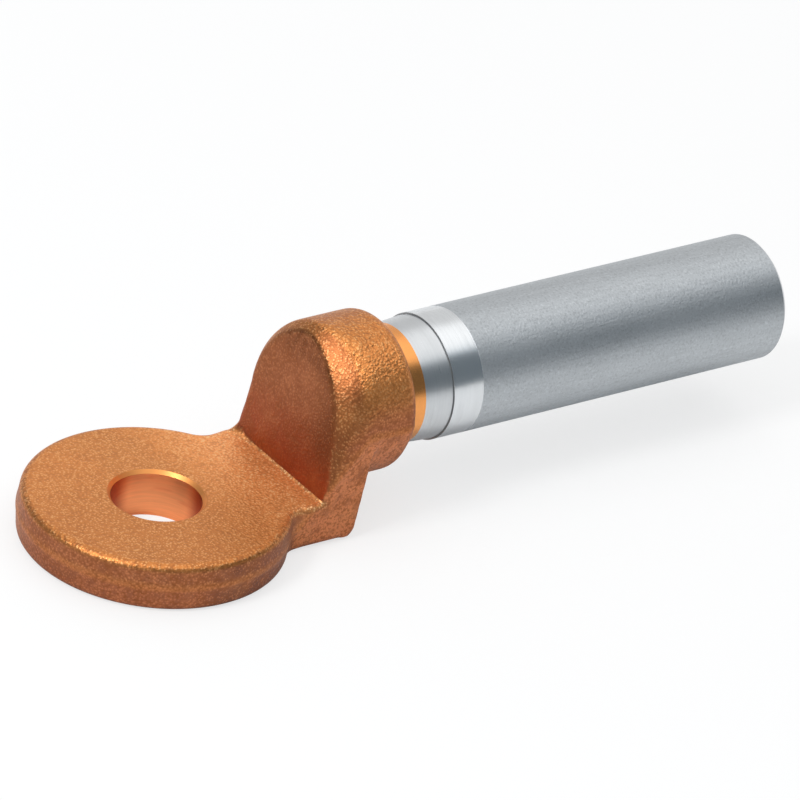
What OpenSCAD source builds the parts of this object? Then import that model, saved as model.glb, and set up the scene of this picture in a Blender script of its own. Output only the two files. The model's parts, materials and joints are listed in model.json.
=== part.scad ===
// Bimetallic compression lug: forged copper palm, friction welded aluminium barrel
//
// The origin is the centre of the stud hole on the underside of the palm.
// +X runs along the barrel to its open end, +Z is up, all sizes are in mm.

/* [Nodes] */

// Which piece is drawn

/* [Palm] */

// Diameter of the round palm
palm_diameter = 38.8; // [34:0.1:44]
// Thickness of the palm and of the neck
palm_thickness = 7.2; // [5:0.1:10]
// Rounding of the upper edge of palm and neck
palm_top_round = 1.1; // [0.3:0.1:2]
// Rounding of the lower edge of palm, neck and block
palm_bottom_round = 1.5; // [0.3:0.1:2.5]
// Radius of the hollow corner between the round palm and the neck
notch_radius = 2.5; // [1:0.1:4]

/* [Stud hole] */

// Diameter of the stud hole, for an M12 bolt
stud_hole_diameter = 13; // [8:0.5:17]
// Chamfer around the upper end of the stud hole
stud_hole_chamfer = 0.5; // [0.2:0.1:1]

/* [Block] */

// Width of the neck and of the block
block_width = 22.9; // [20:0.1:23]
// Distance from the stud hole to the foot of the leaning front face
front_foot = 20.55; // [19:0.05:23]
// Angle by which the front face leans back
front_lean = 9.9; // [6:0.1:14]
// Rounding of the rim of the front face
front_rim_round = 1.8; // [0.4:0.1:2.5]
// Radius of the hollow between the palm and the front face
front_foot_radius = 1.6; // [0.5:0.1:3]
// Thickness of the leaning front plate, most of it inside the block
front_depth = 5; // [3:0.1:6]
// Distance from the stud hole to the rear face of the block, at the underside
block_rear = 26.2; // [25:0.1:29]
// Angle by which the rear face leans back
rear_lean = 7.7; // [2:0.1:12]
// Rounding of the lower rear edge of the block
rear_round = 2; // [0.5:0.1:2.5]

/* [Boss and collar] */

// Height of the barrel axis above the underside of the palm
axis_height = 16.6; // [15:0.1:20]
// Diameter of the round boss
boss_diameter = 23.2; // [22.9:0.1:25]
// Distance from the stud hole to the rear end of the boss
boss_end = 35.6; // [33:0.1:45]
// Rounding of the edges of the boss
boss_round = 2; // [0.5:0.1:2.5]
// Set-back of the boss behind the top of the front face
boss_set_back = 0.3; // [0.1:0.1:1]
// Diameter of the turned copper collar and of the aluminium neck next to it
collar_diameter = 17.4; // [14:0.1:18]
// Length of the copper collar from the boss to the weld
collar_length = 3; // [1:0.1:6]

/* [Barrel] */

// Outside diameter of the barrel
barrel_diameter = 18.5; // [18:0.1:22]
// Length of the turned aluminium neck from the weld to the step
neck_length = 4.6; // [2:0.1:8]
// Width of the fine groove at the foot of the step
groove_width = 0.35; // [0.2:0.05:1]
// Depth of the fine groove below the turned neck
groove_depth = 0.2; // [0.1:0.05:0.6]
// Length of the barrel from the step to its open end
barrel_length = 59.9; // [56:0.1:80]
// Width of the turned bright band behind the step
band_width = 5.1; // [2:0.1:10]
// Depth of the turned band below the drawn barrel
band_depth = 0.05; // [0.02:0.01:0.2]
// Chamfer at the start of the turned band
step_chamfer = 0.25; // [0.1:0.05:0.4]
// Chamfer around the open end
end_chamfer = 0.6; // [0.3:0.1:1.5]

/* [Cable bore] */

// Diameter of the cable bore, for a 70 mm2 cable
bore_diameter = 11.2; // [8:0.1:13]
// Depth of the straight part of the cable bore
bore_depth = 50; // [30:0.5:55]
// Angle of the drill point at the bottom of the bore
drill_point_angle = 118; // [90:1:140]
// Chamfer at the mouth of the bore
mouth_chamfer = 0.5; // [0.2:0.1:1.5]

/* [Hidden] */

$fn = 96;

copper_colour = [0.79, 0.50, 0.29];
aluminium_colour = [0.70, 0.71, 0.72];

// Extra length of a cut past the surface that it opens
cut_extra = 1;

palm_radius = palm_diameter / 2;
block_half = block_width / 2;
boss_radius = boss_diameter / 2;
collar_radius = collar_diameter / 2;
barrel_radius = barrel_diameter / 2;
band_radius = barrel_radius - band_depth;
bore_radius = bore_diameter / 2;
stud_radius = stud_hole_diameter / 2;

// How far the round of a blend passes through the faces that it joins
blend_lap = 0.004;
// How far the hollow at the foot ends inside the flat part of the front face
fillet_inset = 0.1;

// Centre of the hollow corner between palm and neck
notch_y = block_half + notch_radius - blend_lap;
notch_x = sqrt(pow(palm_radius + notch_radius - blend_lap, 2) - pow(notch_y, 2));
edge_reach = palm_top_round + palm_bottom_round;

// The arch of the front face is as high as the boss
arch_rise = (axis_height + boss_radius - palm_thickness) / cos(front_lean) - block_half;
boss_start = front_foot + boss_set_back
    + (axis_height + boss_radius - palm_thickness) * tan(front_lean);

weld_x = boss_end + collar_length;
step_x = weld_x + neck_length;
barrel_end = step_x + barrel_length;
drill_point_length = bore_radius / tan(drill_point_angle / 2);

// What a rounded corner leaves outside, with its tip at the origin
module corner_cut(radius) {
    difference() {
        translate([-cut_extra, -cut_extra])
            square(radius + cut_extra);
        translate([radius, radius])
            circle(r = radius);
    }
}

// Half section of the round palm
module palm_profile() {
    difference() {
        square([palm_radius, palm_thickness]);
        translate([palm_radius, palm_thickness])
            rotate(180)
                corner_cut(palm_top_round);
        translate([palm_radius, 0])
            rotate(90)
                corner_cut(palm_bottom_round);
    }
}

// Section across the neck
module neck_profile() {
    difference() {
        translate([-block_half, 0])
            square([block_width, palm_thickness]);
        translate([block_half, palm_thickness])
            rotate(180)
                corner_cut(palm_top_round);
        translate([-block_half, palm_thickness])
            rotate(-90)
                corner_cut(palm_top_round);
        translate([block_half, 0])
            rotate(90)
                corner_cut(palm_bottom_round);
        translate([-block_half, 0])
            corner_cut(palm_bottom_round);
    }
}

module neck() {
    translate([palm_radius / 2, 0, 0])
        rotate([90, 0, 90])
            linear_extrude(height = front_foot + front_depth / 2 - palm_radius / 2)
                neck_profile();
}

// Half section of the air in the hollow corner, whose edges flare like those of the palm
module notch_profile() {
    difference() {
        translate([0, -cut_extra])
            square([notch_radius + edge_reach, palm_thickness + 2 * cut_extra]);
        difference() {
            translate([notch_radius, 0])
                square([palm_radius, palm_thickness]);
            translate([notch_radius, palm_thickness])
                rotate(-90)
                    corner_cut(palm_top_round);
            translate([notch_radius, 0])
                corner_cut(palm_bottom_round);
        }
    }
}

module notch_corner() {
    inner = (palm_radius - edge_reach) / (palm_radius + notch_radius);
    difference() {
        linear_extrude(height = palm_thickness)
            polygon([
                [notch_x, notch_y],
                [notch_x * inner, notch_y * inner],
                [notch_x, block_half - edge_reach],
            ]);
        translate([notch_x, notch_y, 0])
            rotate_extrude()
                notch_profile();
    }
}

// Half section of the arch of the front plate
module arch_profile() {
    difference() {
        square([block_half, front_depth]);
        translate([block_half, 0])
            rotate(90)
                corner_cut(front_rim_round);
    }
}

// Section across the straight sides of the front plate
module side_profile() {
    difference() {
        translate([-block_half, 0])
            square([block_width, front_depth]);
        translate([block_half, 0])
            rotate(90)
                corner_cut(front_rim_round);
        translate([-block_half, 0])
            corner_cut(front_rim_round);
    }
}

// Leaning front plate: an arch on straight sides, with a rounded rim
module front_plate() {
    translate([front_foot, 0, palm_thickness])
        rotate([0, front_lean, 0])
            translate([0, 0, arch_rise])
                rotate([90, 0, 90]) {
                    rotate_extrude(angle = 180)
                        arch_profile();
                    rotate([90, 0, 0])
                        linear_extrude(height = arch_rise + palm_thickness / 2)
                            side_profile();
                }
}

// Hollow between the palm and the front plate
module front_foot_fillet() {
    reach = front_foot_radius * tan(45 - front_lean / 2);
    half_width = block_half - max(front_rim_round, palm_top_round) - fillet_inset;
    translate([front_foot, half_width, palm_thickness])
        rotate([90, 0, 0])
            linear_extrude(height = 2 * half_width)
                difference() {
                    polygon([
                        [-reach, 0],
                        [-reach, -cut_extra],
                        [cut_extra, -cut_extra],
                        [cut_extra + reach * sin(front_lean), reach * cos(front_lean)],
                        [reach * sin(front_lean), reach * cos(front_lean)],
                    ]);
                    translate([-reach, front_foot_radius])
                        circle(r = front_foot_radius + blend_lap);
                }
}

// Outline of the block from the side, with the rear face leaning back
module block_outline() {
    reach = rear_round * tan(45 - rear_lean / 2);
    lift = [reach * sin(rear_lean), reach * cos(rear_lean)];
    front = front_foot + front_depth / 2;
    difference() {
        polygon([
            [front - palm_thickness * tan(front_lean), 0],
            [block_rear, 0],
            [block_rear + axis_height * tan(rear_lean), axis_height],
            [front + (axis_height - palm_thickness) * tan(front_lean), axis_height],
        ]);
        translate([block_rear, 0])
            difference() {
                polygon([
                    [-reach, 0],
                    [-reach, -cut_extra],
                    [lift[0] + cut_extra, -cut_extra],
                    [lift[0] + cut_extra, lift[1]],
                    lift,
                ]);
                translate([-reach, rear_round])
                    circle(r = rear_round + blend_lap);
            }
    }
}

// Section across the block, up to the axis of the boss
module block_section() {
    difference() {
        translate([-block_half, 0])
            square([block_width, axis_height]);
        translate([block_half, 0])
            rotate(90)
                corner_cut(palm_bottom_round);
        translate([-block_half, 0])
            corner_cut(palm_bottom_round);
    }
}

module block() {
    intersection() {
        translate([0, block_half + cut_extra, 0])
            rotate([90, 0, 0])
                linear_extrude(height = block_width + 2 * cut_extra)
                    block_outline();
        translate([palm_radius / 2, 0, 0])
            rotate([90, 0, 90])
                linear_extrude(height = boss_end)
                    block_section();
    }
}

// Half section of the boss with its collar, along the barrel axis
module boss_profile() {
    difference() {
        square([boss_radius, boss_end - boss_start]);
        translate([boss_radius, boss_end - boss_start])
            rotate(180)
                corner_cut(boss_round);
        translate([boss_radius, 0])
            rotate(90)
                corner_cut(boss_round);
    }
    square([collar_radius, weld_x - boss_start]);
}

module boss() {
    translate([boss_start, 0, axis_height])
        rotate([0, 90, 0])
            rotate_extrude()
                boss_profile();
}

// Half section of the drilled stud hole, chamfered at the top
module stud_hole_profile() {
    polygon([
        [0, -cut_extra],
        [stud_radius, -cut_extra],
        [stud_radius, palm_thickness - stud_hole_chamfer],
        [stud_radius + stud_hole_chamfer + cut_extra, palm_thickness + cut_extra],
        [0, palm_thickness + cut_extra],
    ]);
}

module copper_palm() {
    color(copper_colour)
        difference() {
            union() {
                rotate_extrude()
                    palm_profile();
                neck();
                for (side = [0, 1])
                    mirror([0, side, 0])
                        notch_corner();
                front_plate();
                front_foot_fillet();
                block();
                boss();
            }
            rotate_extrude()
                stud_hole_profile();
        }
}

// Half section of the barrel, along its axis from the weld
module barrel_profile() {
    step = neck_length;
    band = step + band_width;
    end = step + barrel_length;
    polygon([
        [0, 0],
        [collar_radius, 0],
        [collar_radius, step - groove_width],
        [collar_radius - groove_depth, step - groove_width],
        [collar_radius - groove_depth, step],
        [band_radius - step_chamfer, step],
        [band_radius, step + step_chamfer],
        [band_radius, band],
        [barrel_radius, band + band_depth],
        [barrel_radius, end - end_chamfer],
        [barrel_radius - end_chamfer, end],
        [bore_radius + mouth_chamfer, end],
        [bore_radius, end - mouth_chamfer],
        [bore_radius, end - bore_depth],
        [0, end - bore_depth - drill_point_length],
    ]);
}

module aluminium_barrel() {
    color(aluminium_colour)
        translate([weld_x, 0, axis_height])
            rotate([0, 90, 0])
                rotate_extrude()
                    barrel_profile();
}

copper_palm();
aluminium_barrel();
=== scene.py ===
"""Bimetallic compression lug: sand-blasted copper forging, friction welded aluminium barrel.

The frame's own units are metres. The origin is the centre of the stud hole on the underside
of the palm, +X runs along the barrel to its open end and +Z is up.
"""

import json
import math
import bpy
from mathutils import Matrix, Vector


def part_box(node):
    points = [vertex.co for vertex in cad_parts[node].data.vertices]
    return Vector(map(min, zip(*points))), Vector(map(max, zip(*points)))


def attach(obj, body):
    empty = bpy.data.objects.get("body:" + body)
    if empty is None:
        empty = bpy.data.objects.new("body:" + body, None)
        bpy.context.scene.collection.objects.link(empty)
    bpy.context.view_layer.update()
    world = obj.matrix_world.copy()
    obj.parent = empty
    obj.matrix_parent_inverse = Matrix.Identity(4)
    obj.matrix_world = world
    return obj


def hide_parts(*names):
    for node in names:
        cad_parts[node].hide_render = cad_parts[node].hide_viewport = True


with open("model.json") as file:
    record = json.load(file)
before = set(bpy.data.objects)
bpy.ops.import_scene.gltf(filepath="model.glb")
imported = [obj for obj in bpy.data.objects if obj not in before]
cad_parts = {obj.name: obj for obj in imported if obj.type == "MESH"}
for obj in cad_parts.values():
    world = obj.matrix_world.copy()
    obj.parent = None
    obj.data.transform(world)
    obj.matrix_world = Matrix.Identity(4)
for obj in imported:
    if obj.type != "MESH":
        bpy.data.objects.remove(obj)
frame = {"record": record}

from types import SimpleNamespace

import bpy
from mathutils import Matrix, Vector

bl_info = {
    "name": "Bimetallic compression lug",
    "version": (1, 0, 0),
    "blender": (4, 5, 0),
    "location": "View3D > Sidebar > Lug",
    "description": "Dresses a cable lug with a forged copper palm and a turned aluminium barrel",
    "category": "Object",
}

PALM_LOW, PALM_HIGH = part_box("copper_palm")
BARREL_LOW, BARREL_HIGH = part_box("aluminium_barrel")
MOUNTS = {m["name"]: m for m in frame["record"]["mounts"]}
STUD_RADIUS = MOUNTS["stud_hole"]["dims"]["r_mm"] / 1000
BORE_RADIUS = MOUNTS["cable_bore"]["dims"]["r_mm"] / 1000
AXIS_HEIGHT = MOUNTS["cable_bore"]["pos_m"][2]
MM = 0.001


def length(name, description, default):
    """A size in metres that a user can change."""
    return bpy.props.FloatProperty(
        name=name, description=description, default=default, min=0.0, precision=5,
        subtype="DISTANCE", unit="LENGTH",
    )


def angle(name, description, degrees):
    """An angle that a user can change."""
    return bpy.props.FloatProperty(
        name=name, description=description, default=math.radians(degrees),
        subtype="ANGLE", unit="ROTATION",
    )


def colour(name, description, default):
    """A linear colour that a user can change."""
    return bpy.props.FloatVectorProperty(
        name=name, description=description, default=default, size=3, min=0.0, max=1.0, subtype="COLOR",
    )


def share(name, description, default, high=1.0):
    """A plain number from nothing to high."""
    return bpy.props.FloatProperty(name=name, description=description, default=default, min=0.0, max=high)


class LugForging(bpy.types.PropertyGroup):
    """Sizes of the copper forging."""

    palm_radius: length("Palm radius", "Radius of the round palm", PALM_HIGH.y)
    palm_thickness: length("Palm thickness", "Thickness of palm and neck", 7.2 * MM)
    top_round: length("Upper edge", "Rounding of the upper edge of the palm", 1.0 * MM)
    bottom_round: length("Lower edge", "Rounding of the lower edge of palm and block", 1.0 * MM)
    notch_round: length("Neck corner", "Hollow corner between palm and neck", 1.0 * MM)
    half_width: length("Half width", "Half the width of neck and block at the parting line", 11.6 * MM)
    front_foot: length("Front foot", "From the stud hole to the foot of the front face", 20.55 * MM)
    front_lean: angle("Front lean", "Angle by which the front face leans back", 9.9)
    front_dish: length("Front dish", "How far the front face is hollow in its middle", 0.22 * MM)
    foot_round: length("Foot hollow", "Hollow between palm and front face", 0.30 * MM)
    near_rim: length("Near rim", "Width of the bevel along the near rim of the front face", 3.2 * MM)
    far_rim: length("Far rim", "Width of the bevel along the far rim of the front face", 1.3 * MM)
    low_rim: length("Low rim", "Width of the bevel at the foot of the near rim", 0.6 * MM)
    rear_corner: length("Rear corner", "Rounding of the upright rear corners of the block", 0.3 * MM)
    block_round: length("Block lower edge", "Rounding of the lower edge of the block", 1.5 * MM)
    block_rear: length("Block rear", "From the stud hole to the foot of the rear face", 26.75 * MM)
    rear_lean: angle("Rear lean", "Angle by which the rear face leans back", 7.2)
    rear_round: length("Rear edge", "Rounding of the lower rear edge", 2.0 * MM)
    boss_radius: length("Boss radius", "Radius of the round boss", PALM_HIGH.z - AXIS_HEIGHT + 0.13 * MM)
    boss_end: length("Boss end", "From the stud hole to the end of the boss", 35.6 * MM)
    boss_round: length("Boss edge", "Rounding of the rear edge of the boss", 2.0 * MM)
    collar_radius: length("Collar radius", "Radius of the turned collar", 8.7 * MM)
    hole_radius: length("Hole radius", "Radius of the stud hole", STUD_RADIUS)
    hole_chamfer: length("Hole chamfer", "Chamfer at the upper end of the stud hole", 0.5 * MM)
    draft: angle("Draft", "Draft of the sides on either side of the parting line", 5.5)
    flash: length("Trimmed flash", "Height of the trimmed ridge along the parting line", 0.06 * MM)
    grid: length("Grid", "Spacing of the grid on which the forging is worked out", 0.3 * MM)


class LugBarrel(bpy.types.PropertyGroup):
    """Sizes of the turned barrel."""

    neck_radius: length("Neck radius", "Radius of the turned neck next to the weld", 8.7 * MM)
    neck_flare: length("Neck flare", "How much wider the neck is at the step", 0.3 * MM)
    neck_length: length("Neck length", "From the weld to the step", 4.6 * MM)
    groove_width: length("Groove width", "Width of the fine groove at the step", 0.12 * MM)
    groove_depth: length("Groove depth", "Depth of the fine groove", 0.08 * MM)
    band_width: length("Band width", "Width of the bright band behind the step", 5.1 * MM)
    band_depth: length("Band depth", "Depth of the band below the drawn barrel", 0.02 * MM)
    barrel_radius: length("Barrel radius", "Outside radius of the barrel", BARREL_HIGH.y)
    end_chamfer: length("End chamfer", "Chamfer around the open end", 0.6 * MM)
    bore_radius: length("Bore radius", "Radius of the cable bore", BORE_RADIUS)
    bore_depth: length("Bore depth", "Depth of the straight part of the bore", 50.0 * MM)
    mouth_chamfer: length("Mouth chamfer", "Chamfer at the mouth of the bore", 0.5 * MM)
    waviness: length("Groove waviness", "How far the groove wanders along the barrel", 0.07 * MM)


class LugFinish(bpy.types.PropertyGroup):
    """Colours of the metals."""

    blasted: colour("Blasted copper", "Colour of the sand-blasted forging", (0.68, 0.257, 0.075))
    # Painted light: lighter copper for the top of palm and neck towards the neck and the far side, and for
    # the near side of the boss
    fresh: colour("Blasted copper, neck", "Colour of the skin on top of the neck", (0.98, 0.38, 0.115))
    # Painted shade: darker copper for the upright faces
    sides: colour("Blasted copper, sides", "Colour of the upright faces", (0.41, 0.143, 0.066))
    # Painted shade and reflection: the dark red at the foot of the front face
    foot: colour("Blasted copper, foot", "Colour at the foot of the front face", (0.46, 0.10, 0.042))
    # Painted glint: the bright tips of the grain, whose pattern is the blasted grain
    sparkle: colour("Grain tips", "Colour of the bright tips of the blasted grain", (0.98, 0.52, 0.21))
    # Painted glint on the upright faces, dimmer and redder
    side_tip: colour("Grain tips, sides", "Colour of the tips on the upright faces", (0.78, 0.30, 0.13))
    # Also painted shade: this colour darkens the near rim, the near side of the front face, the round upper
    # edge, the far side of the boss and the near shoulder
    pit: colour("Pits", "Colour in the pits of the blasted skin", (0.38, 0.125, 0.045))
    # Also painted light: this colour lightens the sides below the parting line of the block
    patch: colour("Lighter patches", "Colour of the lighter patches on the sides", (0.66, 0.245, 0.105))
    stain: colour("Stain", "Colour of the faint stains all over", (0.55, 0.25, 0.085))
    turned: colour("Turned copper", "Colour of the turned collar", (0.96, 0.395, 0.12))
    drilled: colour("Drilled copper", "Colour of the wall of the stud hole", (1.0, 0.42, 0.18))
    # Also painted shade: this colour darkens two opposite sides of the hole's wall
    hole_stain: colour("Hole stain", "Colour of the stain in the stud hole", (0.70, 0.135, 0.05))
    # Also painted shade: this colour darkens the sides from palm to neck
    grime: colour("Grime", "Colour of the worn and grimy parts of the forging", (0.21, 0.08, 0.048))
    # Painted glint on the top of the neck
    glint: colour("Grain tips, neck", "Colour of the grain tips on top of the neck", (1.0, 0.60, 0.28))
    aluminium: colour("Drawn aluminium", "Colour of the drawn barrel", (0.52, 0.545, 0.565))
    aluminium_bright: colour("Turned aluminium", "Colour of the turned band and neck", (0.78, 0.80, 0.815))


class LugStudio(bpy.types.PropertyGroup):
    """Camera, lamps and surroundings."""

    turn: angle("Camera turn", "Angle of the barrel's axis away from the picture plane", 39.612)
    tilt: angle("Camera tilt", "Angle by which the camera looks down", 29.854)
    roll: angle("Camera roll", "Turn of the camera about its line of sight", 8.631)
    distance: length("Camera distance", "From the camera to the aim point", 1148.0 * MM)
    focal: bpy.props.FloatProperty(
        name="Focal length", description="Focal length on a sensor 36 mm wide", default=364.03,
        unit="CAMERA",
    )
    aim_right: length("Aim offset", "Shift of the aim point to the left in the picture", 1.151 * MM)
    aim_up: length("Aim rise", "Shift of the aim point downwards in the picture", 2.918 * MM)
    backdrop: share("Backdrop", "Brightness of the backdrop behind the barrel", 0.74, 4.0)
    overhead: share("Overhead", "Brightness of the large soft box overhead", 1.25, 4.0)
    open_side: share("Open side", "Brightness at the open front and left of the tent", 0.150, 4.0)
    paper: share("Paper", "Reflectance of the floor for the light that it throws back", 0.80)


class Wire:
    """An output socket in formulas: each operator adds the Math node that it needs."""

    def __init__(self, net, socket):
        self.net = net
        self.socket = socket

    def math(self, operation, *others):
        """A Math node with this socket as its first input."""
        return self.net.math(operation, self, *others)

    def __add__(self, other):
        return self.math("ADD", other)

    __radd__ = __add__

    def __sub__(self, other):
        return self.math("SUBTRACT", other)

    def __rsub__(self, other):
        return self.net.math("SUBTRACT", other, self)

    def __mul__(self, other):
        return self.math("MULTIPLY", other)

    __rmul__ = __mul__

    def __truediv__(self, other):
        return self.math("DIVIDE", other)

    def __rtruediv__(self, other):
        return self.net.math("DIVIDE", other, self)

    def __pow__(self, other):
        return self.math("POWER", other)

    def __neg__(self):
        return self.math("MULTIPLY", -1.0)

    def __abs__(self):
        return self.math("ABSOLUTE")

    def __gt__(self, other):
        return self.math("GREATER_THAN", other)

    def __lt__(self, other):
        return self.math("LESS_THAN", other)

    def clamp(self):
        """The value, kept between 0 and 1."""
        return self.math("MAXIMUM", 0.0).math("MINIMUM", 1.0)


class Net:
    """A node tree, with one method that adds any node to it."""

    def __init__(self, tree):
        self.tree = tree

    def node(self, kind, settings=None, values=None):
        """Adds a node, sets its settings and then the values or links of its sockets."""
        made = self.tree.nodes.new(kind)
        for key, value in (settings or {}).items():
            setattr(made, key, value)
        for key, value in (values or {}).items():
            socket = made.inputs[key]
            if isinstance(value, Wire):
                self.tree.links.new(value.socket, socket)
            else:
                socket.default_value = value
        return made

    def wire(self, kind, settings=None, values=None, output=0):
        """Adds a node and gives one of its outputs."""
        return Wire(self, self.node(kind, settings, values).outputs[output])

    def math(self, operation, *operands):
        """Adds a Math node and gives its output."""
        return self.wire("ShaderNodeMath", {"operation": operation}, dict(enumerate(operands)))

    def smooth(self, value, low, high):
        """0 at low and beyond it, 1 at high and beyond it, with a soft change between them."""
        return self.wire(
            "ShaderNodeMapRange", {"interpolation_type": "SMOOTHSTEP"},
            {"Value": value, "From Min": low, "From Max": high, "To Min": 0.0, "To Max": 1.0},
        )

    def split(self, vector):
        """The three parts of a vector."""
        parts = self.node("ShaderNodeSeparateXYZ", values={0: vector})
        return [Wire(self, s) for s in parts.outputs]

    def join(self, x, y, z):
        """A vector of three parts."""
        return self.wire("ShaderNodeCombineXYZ", values={0: x, 1: y, 2: z})

    def span(self, a, b):
        """Length of the vector (a, b)."""
        return (a * a + b * b).math("SQRT")

    def noise(self, vector, scale, detail, roughness):
        """Noise in space, with about scale features per metre."""
        values = {"Vector": vector, "Scale": scale, "Detail": detail, "Roughness": roughness}
        return self.wire("ShaderNodeTexNoise", {"noise_dimensions": "3D"}, values)

    def blend(self, factor, a, b):
        """Mix of two colours: a where the factor is 0, b where it is 1."""
        mixed = self.node("ShaderNodeMix", {"data_type": "RGBA"})
        for socket, value in zip([s for s in mixed.inputs if s.enabled], (factor, a, b)):
            if isinstance(value, Wire):
                self.tree.links.new(value.socket, socket)
            else:
                socket.default_value = value
        return Wire(self, next(s for s in mixed.outputs if s.enabled))

    def layers(self, tone, rows):
        """Lays each colour of the (mask, colour) rows over the tone before it."""
        for mask, paint in rows:
            tone = self.blend(mask, tone, paint)
        return tone

    def round_union(self, a, b, radius):
        """Union of two distances with a hollow of that radius between them."""
        u = (radius - a).math("MAXIMUM", 0.0)
        v = (radius - b).math("MAXIMUM", 0.0)
        return a.math("MINIMUM", b).math("MAXIMUM", radius) - self.span(u, v)

    def round_cut(self, a, b, radius):
        """Intersection of two distances with an edge of that radius between them."""
        u = (a + radius).math("MAXIMUM", 0.0)
        v = (b + radius).math("MAXIMUM", 0.0)
        return a.math("MAXIMUM", b).math("MINIMUM", -radius) + self.span(u, v)


def new_tree(name, sizes):
    """An empty geometry tree with one named input for each size, in metres or radians."""
    tree = bpy.data.node_groups.new(name, "GeometryNodeTree")
    tree.interface.new_socket("Geometry", in_out="INPUT", socket_type="NodeSocketGeometry")
    for label in sizes:
        tree.interface.new_socket(label, in_out="INPUT", socket_type="NodeSocketFloat")
    tree.interface.new_socket("Geometry", in_out="OUTPUT", socket_type="NodeSocketGeometry")
    net = Net(tree)
    entry = tree.nodes.new("NodeGroupInput")
    inputs = {s.name: Wire(net, s) for s in entry.outputs if s.name}
    return net, inputs


def finish_tree(net, mesh, skins):
    """Ends a tree with Realize Instances and Set Material. skins are (material, selection)."""
    mesh = net.wire("GeometryNodeRealizeInstances", values={"Geometry": mesh})
    for material, chosen in skins:
        mesh = net.wire(
            "GeometryNodeSetMaterial",
            values={"Geometry": mesh, "Selection": chosen, "Material": material},
        )
    leave = net.tree.nodes.new("NodeGroupOutput")
    net.tree.links.new(mesh.socket, leave.inputs[0])


def smooth_faces(net, mesh, edge_angle):
    """Shades a mesh smooth, with its edges above an angle kept sharp."""
    soft = net.wire("GeometryNodeSetShadeSmooth", {"domain": "FACE"}, {"Geometry": mesh})
    sharp = net.wire("GeometryNodeInputMeshEdgeAngle") > edge_angle
    return net.wire(
        "GeometryNodeSetShadeSmooth", {"domain": "EDGE"},
        {"Geometry": soft, "Selection": sharp, "Shade Smooth": False},
    )


def placed(name, data):
    """A new object in the scene."""
    made = bpy.data.objects.new(name, data)
    bpy.context.scene.collection.objects.link(made)
    return made


def grow(name, base, tree, values):
    """Runs a geometry tree on a base mesh and gives the result as a plain object."""
    maker = placed(name + ".maker", base)
    modifier = maker.modifiers.new("Nodes", "NODES")
    modifier.node_group = tree
    for item in tree.interface.items_tree:
        if item.item_type == "SOCKET" and item.in_out == "INPUT" and item.name in values:
            modifier[item.identifier] = values[item.name]
    bpy.context.view_layer.update()
    evaluated = maker.evaluated_get(bpy.context.evaluated_depsgraph_get())
    mesh = bpy.data.meshes.new_from_object(evaluated)
    maker.modifiers.remove(modifier)
    bpy.data.objects.remove(maker)
    if not len(mesh.polygons):
        raise RuntimeError(f"the tree for {name} made no faces")
    mesh.name = name
    return placed(name, mesh)


def new_material(name):
    """An empty material and its node tree."""
    material = bpy.data.materials.new(name)
    material.use_nodes = True
    material.node_tree.nodes.clear()
    return material, Net(material.node_tree)


def metal(net, base, roughness, normal, metallic=1.0):
    """Ends a material in a metal surface."""
    surface = net.wire(
        "ShaderNodeBsdfPrincipled", {"distribution": "MULTI_GGX"},
        {"Base Color": base, "Roughness": roughness, "Metallic": metallic, "Normal": normal},
    )
    net.node("ShaderNodeOutputMaterial", values={"Surface": surface})


def bump(net, height, strength, distance):
    """Normal of a relief. distance is the depth of a height of 1, in metres."""
    values = {"Height": height, "Strength": strength, "Distance": distance}
    return net.wire("ShaderNodeBump", values=values)


def rgba(tone, factor=1.0):
    """A colour with its alpha, darker or lighter by a factor."""
    return (*[min(1.0, c * factor) for c in tone], 1.0)


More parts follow.
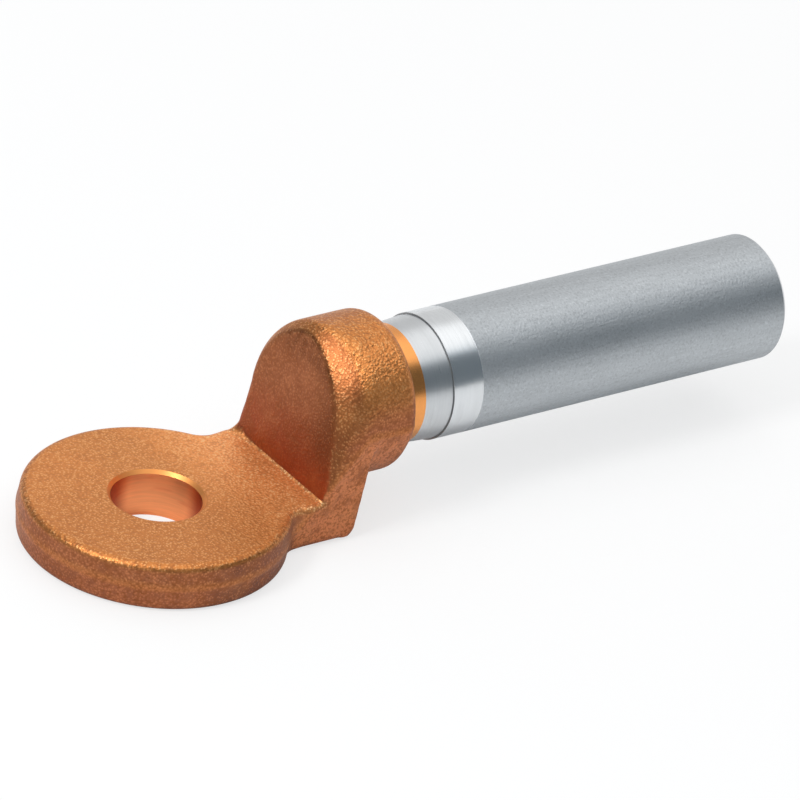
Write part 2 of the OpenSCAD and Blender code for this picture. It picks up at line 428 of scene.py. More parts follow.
def forging_zones(net, place):
    """Soft masks of the zones of the forging's skin, by place and by the way the skin faces.

    The two borders of a smooth step are where it is nothing and where it is full.
    """
    x, y, z = net.split(place)
    nx, ny, nz = net.split(net.wire("ShaderNodeTexCoord", output=1))
    parting = parting_distance(x, z)
    zone = SimpleNamespace()
    zone.upright = 1.0 - net.smooth(nz, 0.0, 0.6)
    zone.front = net.smooth(-nx, 0.60, 0.90) * net.smooth(x, 19.7 * MM, 20.1 * MM)
    off_front = 1.0 - zone.front
    zone.foot = zone.front * net.smooth(z, 18.5 * MM, 8.5 * MM)
    # Top of palm and neck: painted light towards the neck and the far side, matt on the neck, and its round
    # edge, which gets painted shade
    on_top = net.smooth(z, 8.0 * MM, 7.2 * MM)
    fresh = 0.75 * net.smooth(x, 3.0 * MM, 15.0 * MM) + 0.30 * net.smooth(y, -4.0 * MM, 16.0 * MM)
    zone.fresh = fresh.clamp() * on_top
    zone.matt = net.smooth(x, 6.0 * MM, 18.0 * MM) * on_top * (1.0 - zone.upright) * off_front
    zone.edge = net.smooth(nz, 0.992, 0.955) * net.smooth(nz, 0.45, 0.70)
    zone.edge = zone.edge * net.smooth(z, 8.0 * MM, 7.4 * MM)
    # Sides: painted light below the parting line of the block, painted shade from palm to neck, a painted
    # highlight along the line
    zone.below = net.smooth(x, 13.5 * MM, 17.5 * MM) * net.smooth(parting, 0.2 * MM, -0.8 * MM)
    zone.below = zone.below * zone.upright
    zone.worn = net.smooth(x, -6.0 * MM, 0.0) * net.smooth(x, 16.5 * MM, 14.0 * MM) * zone.upright
    zone.seam = net.smooth(abs(parting), 0.85 * MM, 0.20 * MM) * zone.upright * off_front
    # Front face: painted shade on the near rim below the shoulder and on the near side of the face; darker
    # patches at the top of the arch
    zone.rim = net.smooth(-nx, 0.46, 0.62) * off_front * net.smooth(y, -7.5 * MM, -9.5 * MM)
    zone.rim = zone.rim * net.smooth(z, 8.0 * MM, 9.5 * MM) * net.smooth(z, 20.0 * MM, 16.0 * MM)
    zone.arch = zone.front * net.smooth(z, 21.0 * MM, 25.0 * MM)
    zone.near_side = zone.front * net.smooth(y, -1.5 * MM, -8.5 * MM)
    zone.near_side = zone.near_side * net.smooth(z, 9.0 * MM, 15.0 * MM)
    # Boss: painted shade on its far side and on the near shoulder of the arch, painted light on its near
    # side, and its crown
    zone.far_boss = net.smooth(ny, -0.05, 0.35) * net.smooth(z, 19.5 * MM, 23.5 * MM)
    zone.near_boss = net.smooth(-ny, 0.25, 0.60) * net.smooth(z, 19.2 * MM, 22.5 * MM)
    zone.near_boss = zone.near_boss * net.smooth(-nx, 0.45, 0.20)
    zone.shoulder = net.smooth(-nx, 0.30, 0.52) * off_front * net.smooth(z, 19.5 * MM, 22.5 * MM)
    zone.shoulder = zone.shoulder * net.smooth(y, 4.0 * MM, -2.0 * MM)
    zone.crown = net.smooth(z, 21.5 * MM, 25.0 * MM) * (1.0 - 0.8 * net.smooth(-nx, 0.30, 0.58))
    return zone


def blasted_copper(finish):
    """Sand-blasted skin: grain with painted glints on its tips and dark pits, painted shade on the sides and
    the front face, red at the foot of the front as painted shade and reflection, and painted light and shade
    in places on palm, block and boss.
    """
    material, net = new_material("sand_blasted_copper")
    place = net.wire("ShaderNodeTexCoord", output=3)
    zone = forging_zones(net, place)
    upright, front, matt = zone.upright, zone.front, zone.matt
    # Noises from fine to coarse. A scale is the number of features per metre
    grain = net.noise(place, 3300.0, 2.0, 0.6)
    dots = net.wire("ShaderNodeTexVoronoi", {"feature": "F1"}, {"Vector": place, "Scale": 2600.0})
    coarse = net.noise(place, 1500.0, 2.0, 0.5)
    blotch = net.noise(place, 620.0, 2.0, 0.5)
    patches = net.noise(place, 280.0, 3.0, 0.6)
    stain = net.noise(place, 90.0, 2.0, 0.5)
    bumps = 0.30 * (0.62 - dots)
    # The grain is fainter on the front face, and faintest at its foot
    calm = (1.0 - 0.35 * front) * (1.0 - 0.5 * zone.foot)
    # The grain's bright tips: the pattern is the grain, their lightness a painted glint
    speck = net.smooth(dots - 0.7 * coarse, 0.06, -0.12) * (0.60 - 0.25 * upright + 0.35 * matt)
    tip = net.blend((upright + 0.70 * zone.shoulder).clamp(), rgba(finish.sparkle), rgba(finish.side_tip))
    tip = net.blend(matt, tip, rgba(finish.glint))
    pits = net.smooth(0.36 * grain + 0.27 * coarse + 0.24 * blotch + bumps, 0.47, 0.36)
    pits = pits * (0.24 + 0.46 * upright + 0.10 * matt)
    dark_patch = net.smooth(patches, 0.46, 0.70) * (0.10 + 0.50 * upright)
    light_patch = net.smooth(patches, 0.52, 0.30) * 0.30 * upright
    smudge = net.smooth(blotch, 0.50, 0.62) * 0.28 * upright * (1.0 - front)
    arch = zone.arch * (0.5 + 0.5 * net.smooth(blotch, 0.42, 0.56))
    # Painted shade on the round upper edge of palm and neck, in patches
    dirty_edge = zone.edge * net.smooth(coarse, 0.42, 0.56)
    tone = net.layers(rgba(finish.blasted), (
        # Painted light on the top of palm and neck
        (zone.fresh, rgba(finish.fresh)),
        # Painted shade on the upright faces
        (upright, rgba(finish.sides)),
        # Painted light on the sides below the parting line of the block
        (zone.below * 0.90, rgba(finish.patch)),
        # Painted shade on the sides from palm to neck
        (zone.worn * 0.90, rgba(finish.grime)),
        # Painted shade on the front face
        (front * 0.45, rgba(finish.sides, 0.92)),
        # Painted shade and reflection at the foot of the front face
        (zone.foot * 0.85, rgba(finish.foot)),
        (dark_patch, rgba(finish.pit)),
        (light_patch, rgba(finish.patch)),
        (smudge, rgba(finish.grime)),
        (net.smooth(stain, 0.50, 0.72) * 0.20, rgba(finish.stain)),
        # Painted highlight: the sides lighter along the parting line
        (zone.seam * 0.40, rgba(finish.blasted)),
        # Painted shade along the near rim below the shoulder
        (zone.rim * 0.48, rgba(finish.pit, 0.6)),
        # Painted shade on the near side of the front face, and darker patches at the top of the arch
        ((arch * 0.85 + zone.near_side * 0.66).clamp(), rgba(finish.pit, 0.6)),
        # Painted shade on the round upper edge
        (dirty_edge * 0.55, rgba(finish.pit, 0.8)),
        # Painted shade on the far side of the boss
        (zone.far_boss * 0.42, rgba(finish.pit)),
        # Painted light on the near side of the boss
        (zone.near_boss * 0.45, rgba(finish.fresh)),
        # Painted shade on the near shoulder of the arch
        (zone.shoulder * 0.86, rgba(finish.pit)),
        # Painted glints on the grain tips
        (speck * calm, tip),
        (pits * calm, rgba(finish.pit, 0.8)),
    ))
    rough = 0.38 + 0.10 * patches + 0.06 * upright
    # The relief is coarse and deep on the crown of the boss, fine and shallow elsewhere
    crown = zone.crown
    relief = 0.20 * grain + (0.20 + 0.55 * crown) * coarse + (0.20 + 0.30 * crown) * blotch + bumps
    depth = (0.42 + 0.50 * crown) * (1.0 - 0.42 * zone.shoulder)
    metal(net, tone, rough, bump(net, relief * depth, 1.0, 0.34 * MM), 1.0 - 0.40 * matt)
    return material


def turned_copper(finish, name, roughness):
    """Turned copper: fine rings around the axis."""
    material, net = new_material(name)
    place = net.wire("ShaderNodeTexCoord", output=3)
    x, y, z = net.split(place)
    rings = net.noise(net.join(x, y * 0.02, z * 0.02), 5200.0, 2.0, 0.6)
    haze = net.noise(place, 500.0, 2.0, 0.5)
    dull = net.smooth(haze, 0.35, 0.7) * 0.35
    tone = net.blend(dull, rgba(finish.turned), rgba(finish.turned, 0.85))
    rough = roughness + 0.10 * rings + 0.05 * haze
    metal(net, tone, rough, bump(net, rings, 0.12, 0.02 * MM))
    return material


def drilled_copper(finish):
    """Wall of the stud hole: slightly slanting drill marks, a stain, and painted shade on two opposite
    sides.
    """
    material, net = new_material("drilled_copper")
    x, y, z = net.split(net.wire("ShaderNodeTexCoord", output=3))
    lift = z + 0.22 * MM * y.math("ARCTAN2", x)
    marks = net.noise(net.join(x * 0.06, y * 0.06, lift), 2600.0, 3.0, 0.6)
    smear = net.noise(net.join(x * 0.35, y * 0.35, lift * 1.8), 420.0, 3.0, 0.55)
    aside = abs(x * 0.77 - y * 0.64) / STUD_RADIUS
    tone = net.layers(rgba(finish.drilled, 0.90), (
        (net.smooth(marks, 0.33, 0.68), rgba(finish.drilled)),
        (net.smooth(smear, 0.54, 0.74) * 0.35, rgba(finish.hole_stain)),
        # Painted shade on two opposite sides of the wall
        (net.smooth(aside, 0.60, 0.96) * 0.92, rgba(finish.hole_stain, 0.46)),
    ))
    rough = 0.32 + 0.14 * marks
    metal(net, tone, rough, bump(net, marks, 0.30, 0.05 * MM))
    return material


def drawn_aluminium(finish):
    """Drawn barrel: matte, finely pitted, with faint streaks along the axis."""
    material, net = new_material("drawn_aluminium")
    place = net.wire("ShaderNodeTexCoord", output=3)
    x, y, z = net.split(place)
    streaks = net.noise(net.join(x * 0.07, y, z), 1500.0, 3.0, 0.6)
    pits = net.noise(place, 2800.0, 2.0, 0.6)
    cloud = net.noise(net.join(x * 0.35, y, z), 170.0, 3.0, 0.55)
    tone = net.layers(rgba(finish.aluminium), (
        (net.smooth(streaks, 0.38, 0.66) * 0.35, rgba(finish.aluminium, 0.86)),
        (net.smooth(pits, 0.54, 0.66) * 0.38, rgba(finish.aluminium, 0.60)),
        (net.smooth(pits, 0.43, 0.33) * 0.40, rgba(finish.aluminium, 1.30)),
        (net.smooth(cloud, 0.45, 0.72) * 0.30, rgba(finish.aluminium, 1.12)),
    ))
    rough = 0.36 + 0.10 * streaks + 0.10 * cloud
    metal(net, tone, rough, bump(net, pits + 0.4 * streaks, 0.6, 0.08 * MM))
    return material


def turned_aluminium(finish, name, tone_share, roughness, line_depth):
    """Turned aluminium: fine lines around the axis."""
    material, net = new_material(name)
    x, y, z = net.split(net.wire("ShaderNodeTexCoord", output=3))
    lines = net.noise(net.join(x, y * 0.015, z * 0.015), 6500.0, 2.0, 0.6)
    haze = net.noise(net.join(x, y * 0.4, z * 0.4), 900.0, 2.0, 0.5)
    tone = net.layers(rgba(finish.aluminium_bright, tone_share), (
        (net.smooth(lines, 0.40, 0.70) * 0.22, rgba(finish.aluminium_bright, tone_share * 0.8)),
        (net.smooth(haze, 0.45, 0.75) * 0.18, rgba(finish.aluminium_bright, tone_share * 0.75)),
    ))
    rough = roughness + 0.10 * lines + 0.05 * haze
    metal(net, tone, rough, bump(net, lines, line_depth, 0.03 * MM))
    return material


def faced_aluminium(finish):
    """Sawn and faced end, and the wall of the bore."""
    material, net = new_material("faced_aluminium")
    place = net.wire("ShaderNodeTexCoord", output=3)
    x, y, z = net.split(place)
    radius = net.span(y, z - AXIS_HEIGHT)
    arcs = net.noise(net.join(radius, x, radius * 0.3), 3400.0, 2.0, 0.6)
    haze = net.noise(place, 300.0, 2.0, 0.5)
    bright = finish.aluminium_bright
    tone = net.blend(net.smooth(arcs, 0.35, 0.7) * 0.35, rgba(bright, 0.85), rgba(bright, 0.65))
    rough = 0.24 + 0.12 * arcs + 0.08 * haze
    metal(net, tone, rough, bump(net, arcs, 0.2, 0.03 * MM))
    return material


# The parting line of the forging dies, with the upward normal of its slanting stretch
PARTING_LOW = 3.9 * MM
PARTING_HIGH = 16.35 * MM
SLANT_FOOT = 16.6 * MM
SLANT_NORMAL = (-0.762, 0.647)


def parting_distance(x, z):
    """Signed distance from the parting line: level at the palm, slanting up the block, level on the boss."""
    above = z - PARTING_LOW
    slant = (x - SLANT_FOOT) * SLANT_NORMAL[0] + above * SLANT_NORMAL[1]
    return above.math("MINIMUM", slant).math("MAXIMUM", z - PARTING_HIGH)


FORGING_SIZES = {
    "Palm radius": "palm_radius", "Palm thickness": "palm_thickness", "Upper edge": "top_round",
    "Lower edge": "bottom_round", "Neck corner": "notch_round", "Half width": "half_width",
    "Front foot": "front_foot", "Front lean": "front_lean", "Front dish": "front_dish",
    "Foot hollow": "foot_round", "Near rim": "near_rim", "Far rim": "far_rim", "Low rim": "low_rim",
    "Rear corner": "rear_corner", "Block lower edge": "block_round", "Block rear": "block_rear",
    "Rear lean": "rear_lean", "Rear edge": "rear_round", "Boss radius": "boss_radius",
    "Boss end": "boss_end", "Boss edge": "boss_round", "Draft": "draft", "Trimmed flash": "flash",
    "Collar radius": "collar_radius", "Hole radius": "hole_radius", "Hole chamfer": "hole_chamfer",
}

# Borders between the forms of the forging, each from the end of one form to the start of the next
NECK_TO_BLOCK = (14.0 * MM, 19.0 * MM)
RIM_FOOT_TO_SHOULDER = (8.5 * MM, 21.0 * MM)
NEAR_TO_FAR_RIM = (-7.0 * MM, 2.0 * MM)
FOOT_TO_FAR_FOOT = (5.0 * MM, 11.0 * MM)
BEVEL_TO_REAR_CORNER = (24.5 * MM, 26.2 * MM)
BLOCK_TO_BOSS = (26.5 * MM, 28.0 * MM)
RIDGE_TO_SIDE = (0.25 * MM, 0.80 * MM)
# The same, measured from the top of the palm
FOOT_TO_DISH = (0.8 * MM, 6.0 * MM)
PALM_EDGE_TO_BEVEL = (0.8 * MM, 2.0 * MM)
# The same, as shares of the palm's thickness
LOWER_TO_UPPER_EDGE = (0.35, 0.65)
DRAFT_REACH = 3.6 * MM
# In millimetres: how much sooner the draft ends above the parting line of the block
BLOCK_SOONER = 2.8
# In millimetres: the hollow between block and boss
BOSS_HOLLOW = 0.9
# How much wider the hollow at the foot of the front face is at its far side
FAR_FOOT_WIDER = 1.5 * MM
DISHED_SHARE = 0.86
# Roundings of the bevel as shares of its width: at the face, and at the sides
FACE_SIDE_SHARE = 0.16
OUTER_SIDE_SHARE = 0.45


def leaning_front(net, size, x, y, z):
    """Distance to the leaning front face with its dish."""
    thick, lean = size["Palm thickness"], size["Front lean"]
    plane = (size["Front foot"] - x) * lean.math("COSINE") + (z - thick) * lean.math("SINE")
    bowl = 1.0 - (abs(y) / (size["Half width"] * DISHED_SHARE)) ** 2.0
    full = net.smooth(z, *[thick + level for level in FOOT_TO_DISH])
    return plane + size["Front dish"] * bowl.math("MAXIMUM", 0.0) * full


def rim_width(net, size, y, z):
    """Width of the bevel: narrow at the near foot, wide on the near shoulder, narrow on the far side."""
    low = size["Low rim"]
    rim = low + (size["Near rim"] - low) * net.smooth(z, *RIM_FOOT_TO_SHOULDER)
    return rim + (size["Far rim"] - rim) * net.smooth(y, *NEAR_TO_FAR_RIM)


def forged_body(net, size):
    """Distance to the skin of the forging at each point of the grid, in metres."""
    x, y, z = net.split(net.wire("GeometryNodeInputPosition"))
    across = abs(y)
    thick = size["Palm thickness"]
    parting = parting_distance(x, z)
    on_block = net.smooth(x, *NECK_TO_BLOCK)
    # How much narrower the forging is at each height: by its draft, less the ridge of trimmed flash
    reach = DRAFT_REACH - on_block * (parting > 0.0) * BLOCK_SOONER * MM
    inset = size["Draft"].math("TANGENT") * abs(parting).math("MINIMUM", reach)
    inset = inset - size["Trimmed flash"] * (1.0 - net.smooth(abs(parting), *RIDGE_TO_SIDE))
    # Plan outline of palm and neck
    disc = net.span(x, y) + inset - size["Palm radius"]
    strip = (across + inset - size["Half width"]).math("MAXIMUM", -x)
    outline = net.round_union(disc, strip, size["Neck corner"])
    # Side outline of palm and block
    front = leaning_front(net, size, x, y, z)
    rear_lean = size["Rear lean"]
    rear = (x - size["Block rear"]) * rear_lean.math("COSINE") - z * rear_lean.math("SINE")
    rim = rim_width(net, size, y, z)
    slope = math.sqrt(0.5)
    face = net.round_cut(front, (front + outline + rim) * slope, rim * FACE_SIDE_SHARE)
    hollow = size["Foot hollow"] + FAR_FOOT_WIDER * net.smooth(y, *FOOT_TO_FAR_FOOT)
    upper = net.round_union(z - thick, face, hollow)
    lower = net.round_cut(rear, -z, size["Rear edge"])
    side = upper.math("MAXIMUM", lower).math("MAXIMUM", z - AXIS_HEIGHT)
    # Edge radius: lower edge, upper edge, then the soft run of the bevel and crisp rear corners
    edge = size["Lower edge"] + (size["Block lower edge"] - size["Lower edge"]) * on_block
    upper_half = net.smooth(z, *[thick * part for part in LOWER_TO_UPPER_EDGE])
    edge = edge + (size["Upper edge"] - edge) * upper_half
    soft = rim * OUTER_SIDE_SHARE
    beside_bevel = net.smooth(z, *[thick + level for level in PALM_EDGE_TO_BEVEL])
    edge = edge + (soft - edge) * beside_bevel
    edge = edge + (size["Rear corner"] - edge) * net.smooth(x, *BEVEL_TO_REAR_CORNER)
    block = net.round_cut(side, outline, edge)
    # Boss along the barrel axis, cut by the leaning front face
    tube = net.span(across + inset, z - AXIS_HEIGHT) - size["Boss radius"]
    face = net.round_cut(front, (front + tube + rim) * slope, rim * FACE_SIDE_SHARE)
    boss = net.round_cut(net.round_cut(tube, face, soft), x - size["Boss end"], size["Boss edge"])
    corner = net.smooth(x, *BLOCK_TO_BOSS) * BOSS_HOLLOW * MM
    return block.math("SMOOTH_MIN", boss, corner)


GRID_MARGIN = Vector((1.2, 1.2, 1.2)) * MM
HOLE_SIDES = 160
COLLAR_SIDES = 192
COLLAR_ROOT = 5.0 * MM
FORGING_CREASE = math.radians(32)
TOUCH = 0.02 * MM


def skin_on_grid(net, props, distance):
    """A mesh of the surface where a distance is zero."""
    low = PALM_LOW - GRID_MARGIN
    far = Vector((props.boss_end, PALM_HIGH.y, PALM_HIGH.z)) + GRID_MARGIN
    steps = [int(round(extent / props.grid)) + 1 for extent in far - low]
    high = low + Vector([(n - 1) * props.grid for n in steps])
    body = net.wire(
        "GeometryNodeVolumeCube",
        values={
            "Density": distance / -MM, "Background": -1.0, "Min": low, "Max": high,
            "Resolution X": steps[0], "Resolution Y": steps[1], "Resolution Z": steps[2],
        },
    )
    return net.wire(
        "GeometryNodeVolumeToMesh", {"resolution_mode": "GRID"}, {"Volume": body, "Threshold": 0.0},
    )


def drilled(net, size, mesh):
    """The forging with its stud hole and the chamfer of the hole cut out."""
    thick, radius, chamfer = size["Palm thickness"], size["Hole radius"], size["Hole chamfer"]
    drill = net.wire(
        "GeometryNodeMeshCylinder",
        values={"Vertices": HOLE_SIDES, "Radius": radius, "Depth": thick * 3.0},
    )
    sink = net.wire(
        "GeometryNodeMeshCone",
        values={
            "Vertices": HOLE_SIDES, "Radius Top": radius + chamfer * 2.0,
            "Radius Bottom": radius - chamfer, "Depth": chamfer * 3.0,
        },
    )
    sink = net.wire(
        "GeometryNodeTransform",
        values={"Geometry": sink, "Translation": net.join(0.0, 0.0, thick - chamfer * 2.0)},
    )
    for cutter in (drill, sink):
        mesh = net.wire(
            "GeometryNodeMeshBoolean", {"operation": "DIFFERENCE", "solver": "MANIFOLD"},
            {"Mesh 1": mesh, "Mesh 2": cutter},
        )
    return mesh


def collared(net, size, mesh):
    """The forging with its turned collar joined to the end of the boss."""
    start, end = size["Boss end"] - COLLAR_ROOT, size["Collar end"]
    collar = net.wire(
        "GeometryNodeMeshCylinder",
        values={"Vertices": COLLAR_SIDES, "Radius": size["Collar radius"], "Depth": end - start},
    )
    middle = net.join((end + start) / 2.0, 0.0, AXIS_HEIGHT)
    collar = net.wire(
        "GeometryNodeTransform",
        values={"Geometry": collar, "Rotation": (0.0, math.pi / 2, 0.0), "Translation": middle},
    )
    union = net.node("GeometryNodeMeshBoolean", {"operation": "UNION", "solver": "MANIFOLD"})
    for part in (collar, mesh):
        net.tree.links.new(part.socket, union.inputs["Mesh 2"])
    return Wire(net, union.outputs[0])


def forging_tree(props, skin, wall, chamfer_skin, collar_skin):
    """The forging as one solid on a grid, then its drilled hole and its turned collar."""
    net, size = new_tree("forged copper palm", [*FORGING_SIZES, "Collar end"])
    mesh = skin_on_grid(net, props, forged_body(net, size))
    mesh = collared(net, size, drilled(net, size, mesh))
    mesh = smooth_faces(net, mesh, FORGING_CREASE)
    x, y, z = net.split(net.wire("GeometryNodeInputPosition"))
    in_hole = net.span(x, y) < size["Hole radius"] + size["Hole chamfer"]
    on_chamfer = in_hole * (z > size["Palm thickness"] - size["Hole chamfer"])
    off_axis = net.span(y, z - AXIS_HEIGHT)
    on_collar = (x > size["Boss end"] + TOUCH) * (off_axis < size["Collar radius"] + TOUCH)
    finish_tree(net, mesh, (
        (skin, True), (wall, in_hole), (chamfer_skin, on_chamfer), (collar_skin, on_collar),
    ))
    return net.tree


class LUG_OT_forging(bpy.types.Operator):
    """Makes the copper forging with its drilled hole and turned collar"""

    bl_idname = "lug.forging"
    bl_label = "Copper forging"

    def execute(self, context):
        props = context.scene.lug_forging
        finish = context.scene.lug_finish
        tree = forging_tree(
            props, blasted_copper(finish), drilled_copper(finish),
            turned_copper(finish, "chamfered_copper", 0.38), turned_copper(finish, "turned_copper", 0.17),
        )
        values = {label: getattr(props, key) for label, key in FORGING_SIZES.items()}
        values["Collar end"] = PALM_HIGH.x
        piece = grow("forged_palm", bpy.data.meshes.new("seed"), tree, values)
        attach(piece, "root")
        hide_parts("copper_palm")
        return {"FINISHED"}


BARREL_SIDES = 256
BARREL_CREASE = math.radians(22)
# Half the angle of the drill's point, at the blind end of the bore
DRILL_POINT = math.radians(59)
# Softening of the turned corners
EASE = 0.04 * MM
# Share of the groove's width that is its floor. The rest is its sloping wall
GROOVE_FLOOR = 0.9
# A longer stretch of the half section is cut into pieces of at least this length
SHORT_PIECE = 2.5 * MM
# From the step, where the groove's wandering begins to fade and where it ends
WANDER_REACH = (0.3 * MM, 1.2 * MM)
DOUBLES = 0.002 * MM


def barrel_profile(props):
    """Half section of the barrel as (x, radius) points, from the weld to the tip of the bore."""
    weld, end = BARREL_LOW.x, BARREL_HIGH.x
    step = weld + props.neck_length
    groove = step - props.groove_width
    band_end = step + props.band_width
    neck, barrel, bore = props.neck_radius, props.barrel_radius, props.bore_radius
    flared = neck + props.neck_flare
    dip = flared - props.groove_depth
    band = barrel - props.band_depth
    chamfer, mouth = props.end_chamfer, props.mouth_chamfer
    bore_end = end - props.bore_depth
    corners = [
        (weld, 0.0), (weld, neck),
        (groove - EASE, flared), (groove, flared - EASE),
        (step - props.groove_width * GROOVE_FLOOR, dip), (step, dip),
        (step, band), (band_end, band), (band_end + props.band_depth, barrel),
        (end - chamfer - EASE, barrel), (end - chamfer + EASE, barrel - EASE),
        (end - EASE, barrel - chamfer + EASE), (end, barrel - chamfer - EASE),
        (end, bore + mouth), (end - mouth, bore),
        (bore_end, bore), (bore_end - bore / math.tan(DRILL_POINT), 0.0),
    ]
    points = corners[:1]
    for a, b in zip(corners, corners[1:]):
        count = max(1, int(math.dist(a, b) / SHORT_PIECE))
        for i in range(1, count + 1):
            points.append((a[0] + (b[0] - a[0]) * i / count, a[1] + (b[1] - a[1]) * i / count))
    return points


def barrel_tree(rows, inside, zones):
    """Turns a half section about the barrel axis. The base mesh holds its points in order.

    rows is the number of those points and inside the material of end and bore. zones are
    (material, from x, to x, beyond radius), and each is laid over those before it.
    """
    net, size = new_tree("turned barrel", ["Axis height", "Waviness", "Step"])
    columns = BARREL_SIDES + 1
    sheet = net.wire(
        "GeometryNodeMeshGrid",
        values={"Size X": 1.0, "Size Y": 1.0, "Vertices X": rows, "Vertices Y": columns},
    )
    index = net.wire("GeometryNodeInputIndex")
    row = (index / float(columns)).math("FLOOR")
    column = index - row * float(columns)
    position = net.wire("GeometryNodeInputPosition")
    picked = net.wire(
        "GeometryNodeSampleIndex", {"data_type": "FLOAT_VECTOR", "domain": "POINT"},
        {"Geometry": size["Geometry"], "Value": position, "Index": row},
    )
    x, radius, _ = net.split(picked)
    turn = column * (2.0 * math.pi / BARREL_SIDES)
    across, up = turn.math("COSINE"), turn.math("SINE")
    wander = net.noise(net.join(across, up, 0.0), 2.6, 3.0, 0.6) - 0.5
    near = 1.0 - net.smooth(abs(x - size["Step"]), *WANDER_REACH)
    x = x + wander * 2.0 * size["Waviness"] * near
    turned = net.join(x, radius * across, radius * up + size["Axis height"])
    mesh = net.wire("GeometryNodeSetPosition", values={"Geometry": sheet, "Position": turned})
    mesh = net.wire("GeometryNodeMergeByDistance", values={"Geometry": mesh, "Distance": DOUBLES})
    mesh = net.wire("GeometryNodeFlipFaces", values={"Mesh": mesh})
    mesh = smooth_faces(net, mesh, BARREL_CREASE)
    x, y, z = net.split(position)
    reach = net.span(y, z - size["Axis height"])
    skins = [(inside, True)]
    for material, low, high, inner in zones:
        skins.append((material, (x > low) * (x < high) * (reach > inner)))
    finish_tree(net, mesh, skins)
    return net.tree


class LUG_OT_barrel(bpy.types.Operator):
    """Makes the turned aluminium barrel with its groove, bright band and blind bore"""

    bl_idname = "lug.barrel"
    bl_label = "Aluminium barrel"

    def execute(self, context):
        props = context.scene.lug_barrel
        finish = context.scene.lug_finish
        points = barrel_profile(props)
        count = len(points)
        base = bpy.data.meshes.new("half_section")
        base.from_pydata([(x, r, 0.0) for x, r in points], [(i, i + 1) for i in range(count - 1)], [])
        weld = BARREL_LOW.x
        step = weld + props.neck_length
        band_end = step + props.band_width + props.band_depth / 2
        open_end = BARREL_HIGH.x - props.end_chamfer
        mouth = props.bore_radius + props.mouth_chamfer + 0.05 * MM
        core = props.neck_radius / 2
        drawn = drawn_aluminium(finish)
        band = turned_aluminium(finish, "turned_aluminium_band", 1.0, 0.15, 0.10)
        neck = turned_aluminium(finish, "turned_aluminium_neck", 0.83, 0.22, 0.16)
        # Painted shade: a darker turned aluminium for the groove at the step
        groove = turned_aluminium(finish, "grimy_groove", 0.58, 0.45, 0.16)
        zones = (
            (drawn, band_end, open_end, mouth), (band, step, band_end, core),
            (neck, weld - MM, step, core), (groove, step - 0.5 * MM, step + 0.3 * MM, core),
        )
        tree = barrel_tree(count, faced_aluminium(finish), zones)
        values = {"Axis height": AXIS_HEIGHT, "Waviness": props.waviness, "Step": step}
        piece = grow("turned_barrel", base, tree, values)
        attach(piece, "root")
        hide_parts("aluminium_barrel")
        return {"FINISHED"}


WHITE = (1.0, 1.0, 1.0)
# The floor's tone where metal mirrors it, and the share of plain white in it for the camera
MIRRORED_FLOOR = 0.93
PURE_SHARE = 0.7
FLOOR_HALF = 3.0
FLOOR_GAP = 0.02 * MM
# Borders in the tent, as parts of a direction of length 1, each from one side to the other
WALL_TO_TOP = (0.67, 0.79)
LEFT_TO_BACK = (-0.40, 0.0)
FRONT_TO_BACK = (-0.30, 0.10)
TOP_TO_GAP = (0.35, 0.62)
GAP_TO_RIGHT = (-0.05, 0.25)
HORIZON_TO_WALL = (0.02, 0.14)
# How much more green and blue the open sides have
COOL_GREEN = 0.18
COOL_BLUE = 0.32
KEY_PLACE = Vector((-0.63, -0.06, 0.72))
KEY_AIM = Vector((0.03, 0.0, 0.01))
KEY_SIZE = 0.24
KEY_POWER = 3.2
CAMERA_AIM = Vector((40.0, 0.0, 10.0)) * MM
SENSOR_WIDTH = 36.0


def ways_seen(net):
    """1 for a ray from the camera, and 1 for a ray mirrored or let through by metal or glass."""
    path = net.node("ShaderNodeLightPath")
    straight, mirrored, through = [
        Wire(net, path.outputs[f"Is {kind} Ray"]) for kind in ("Camera", "Glossy", "Transmission")
    ]
    return straight, (mirrored + through).clamp()


def floor_material(tone):
    """Paper floor, white in the picture and nearly white in the metal, where it keeps the soft shadow."""
    material, net = new_material("pale_floor")
    fibre = net.noise(net.wire("ShaderNodeTexCoord", output=3), 900.0, 2.0, 0.5)
    straight, mirrored = ways_seen(net)
    paper = net.layers(rgba(WHITE, tone), (
        (fibre, rgba(WHITE, tone * 1.03)),
        (straight, rgba(WHITE)),
        (mirrored, rgba(WHITE, MIRRORED_FLOOR)),
    ))
    lit = net.wire("ShaderNodeBsdfDiffuse", values={"Color": paper})
    white = net.wire("ShaderNodeEmission", values={"Color": rgba(WHITE), "Strength": 1.0})
    surface = net.wire("ShaderNodeMixShader", values={0: straight * PURE_SHARE, 1: lit, 2: white})
    net.node("ShaderNodeOutputMaterial", values={"Surface": surface})
    return material


def camera_axes(turn, tilt, roll):
    """Right, up and forward of a camera that looks along the object at these angles."""
    right = Vector((math.cos(turn), -math.sin(turn), 0.0))
    away = Vector((math.sin(turn), math.cos(turn), 0.0))
    forward = away * math.cos(tilt) - Vector((0, 0, 1)) * math.sin(tilt)
    up = away * math.sin(tilt) + Vector((0, 0, 1)) * math.cos(tilt)
    return (
        right * math.cos(roll) + up * math.sin(roll),
        up * math.cos(roll) - right * math.sin(roll),
        forward,
    )


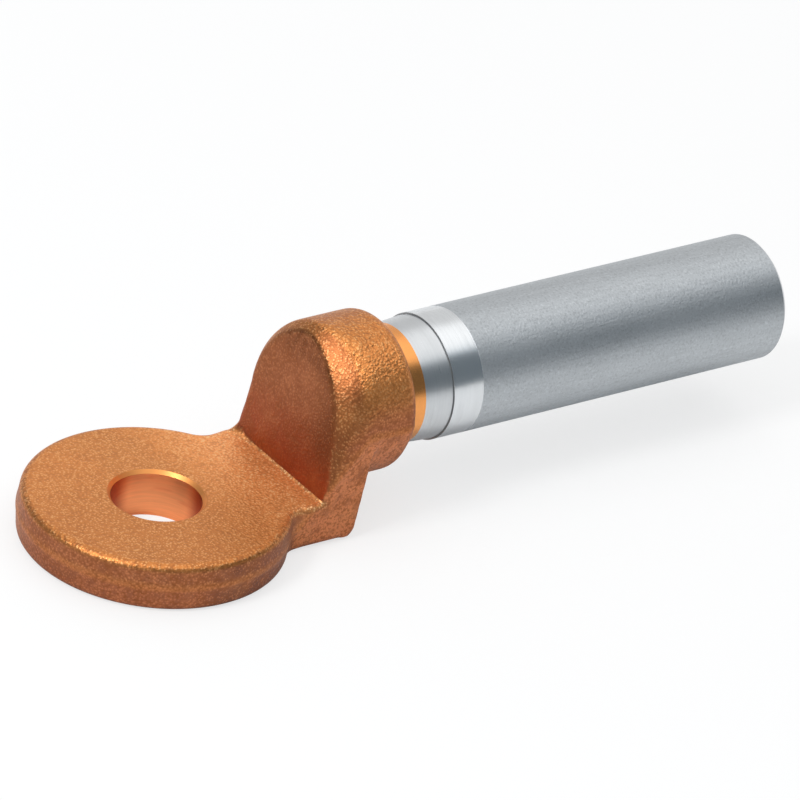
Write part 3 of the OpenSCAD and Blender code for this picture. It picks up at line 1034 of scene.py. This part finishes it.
def tent_world(props):
    """Light tent: a soft box overhead, a white backdrop behind the barrel, open in front and on the left."""
    world = bpy.data.worlds.new("tent")
    bpy.context.scene.world = world
    world.use_nodes = True
    world.node_tree.nodes.clear()
    net = Net(world.node_tree)
    x, y, z = net.split(net.wire("ShaderNodeTexCoord", output=0))
    # The soft box overhead leaves a gap at the back on the left
    gap = net.smooth(y, *TOP_TO_GAP) * (1.0 - net.smooth(x, *GAP_TO_RIGHT))
    overhead = net.smooth(z, *WALL_TO_TOP) * (1.0 - gap)
    behind = net.smooth(x, *LEFT_TO_BACK) * net.smooth(y, *FRONT_TO_BACK)
    tone = props.open_side + (props.backdrop - props.open_side) * behind
    tone = tone + (props.overhead - tone) * overhead
    cool = (1.0 - behind) * (1.0 - overhead)
    tent = net.join(tone, tone * (1.0 + COOL_GREEN * cool), tone * (1.0 + COOL_BLUE * cool))
    straight, mirrored = ways_seen(net)
    horizon = 1.0 - net.smooth(abs(z), *HORIZON_TO_WALL)
    tent = net.blend((straight + mirrored * behind * horizon).clamp(), tent, rgba(WHITE))
    surface = net.wire("ShaderNodeBackground", values={"Color": tent, "Strength": 1.0})
    net.node("ShaderNodeOutputWorld", values={"Surface": surface})


def lay_floor(props):
    """A plain pale floor, a hair below the object."""
    level = PALM_LOW.z - FLOOR_GAP
    signs = ((-1, -1), (1, -1), (1, 1), (-1, 1))
    mesh = bpy.data.meshes.new("floor")
    mesh.from_pydata([(a * FLOOR_HALF, b * FLOOR_HALF, level) for a, b in signs], [], [(0, 1, 2, 3)])
    mesh.materials.append(floor_material(props.paper))
    floor = placed("floor", mesh)


def hang_key_lamp():
    """A small soft box above the front of the palm."""
    lamp = bpy.data.lights.new("key_box", "AREA")
    lamp.shape, lamp.size, lamp.energy = "SQUARE", KEY_SIZE, KEY_POWER
    holder = placed("key_box", lamp)
    holder.location = KEY_PLACE
    holder.rotation_euler = (KEY_AIM - KEY_PLACE).to_track_quat("-Z", "Y").to_euler()


def set_camera(props):
    """The camera at the photograph's angle."""
    right, up, forward = camera_axes(props.turn, props.tilt, props.roll)
    spot = CAMERA_AIM - forward * props.distance + right * props.aim_right + up * props.aim_up
    camera = bpy.data.cameras.new("camera")
    camera.sensor_width = SENSOR_WIDTH
    camera.lens = props.focal
    camera.clip_end = 20.0
    holder = placed("camera", camera)
    axes = Matrix((right, up, -forward)).transposed().to_4x4()
    holder.matrix_world = Matrix.Translation(spot) @ axes
    bpy.context.scene.camera = holder


class LUG_OT_stage(bpy.types.Operator):
    """Makes the floor, the lamp, the surroundings and the camera"""

    bl_idname = "lug.stage"
    bl_label = "Stage"

    def execute(self, context):
        props = context.scene.lug_studio
        lay_floor(props)
        tent_world(props)
        hang_key_lamp()
        set_camera(props)
        context.scene.view_settings.view_transform = "Standard"
        return {"FINISHED"}


class LUG_PT_sidebar(bpy.types.Panel):
    """Lists the pieces of the lug and their sizes"""

    bl_idname = "LUG_PT_sidebar"
    bl_label = "Compression lug"
    bl_space_type = "VIEW_3D"
    bl_region_type = "UI"
    bl_category = "Lug"

    def draw(self, context):
        for operator, group in PIECES:
            box = self.layout.box()
            box.operator(operator.bl_idname)
            held = getattr(context.scene, group)
            for key in held.__annotations__:
                box.prop(held, key)
        box = self.layout.box()
        for key in LugFinish.__annotations__:
            box.prop(context.scene.lug_finish, key)


GROUPS = {
    "lug_forging": LugForging,
    "lug_barrel": LugBarrel,
    "lug_finish": LugFinish,
    "lug_studio": LugStudio,
}
PIECES = (
    (LUG_OT_stage, "lug_studio"),
    (LUG_OT_forging, "lug_forging"),
    (LUG_OT_barrel, "lug_barrel"),
)
CLASSES = (*GROUPS.values(), *[operator for operator, _ in PIECES], LUG_PT_sidebar)


def register():
    for each in CLASSES:
        bpy.utils.register_class(each)
    for name, group in GROUPS.items():
        setattr(bpy.types.Scene, name, bpy.props.PointerProperty(type=group))


def unregister():
    for name in GROUPS:
        delattr(bpy.types.Scene, name)
    for each in reversed(CLASSES):
        bpy.utils.unregister_class(each)


def main():
    register()
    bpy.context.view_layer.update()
    for operator, _ in PIECES:
        group, name = operator.bl_idname.split(".")
        getattr(getattr(bpy.ops, group), name)()


if __name__ == "__main__":
    main()
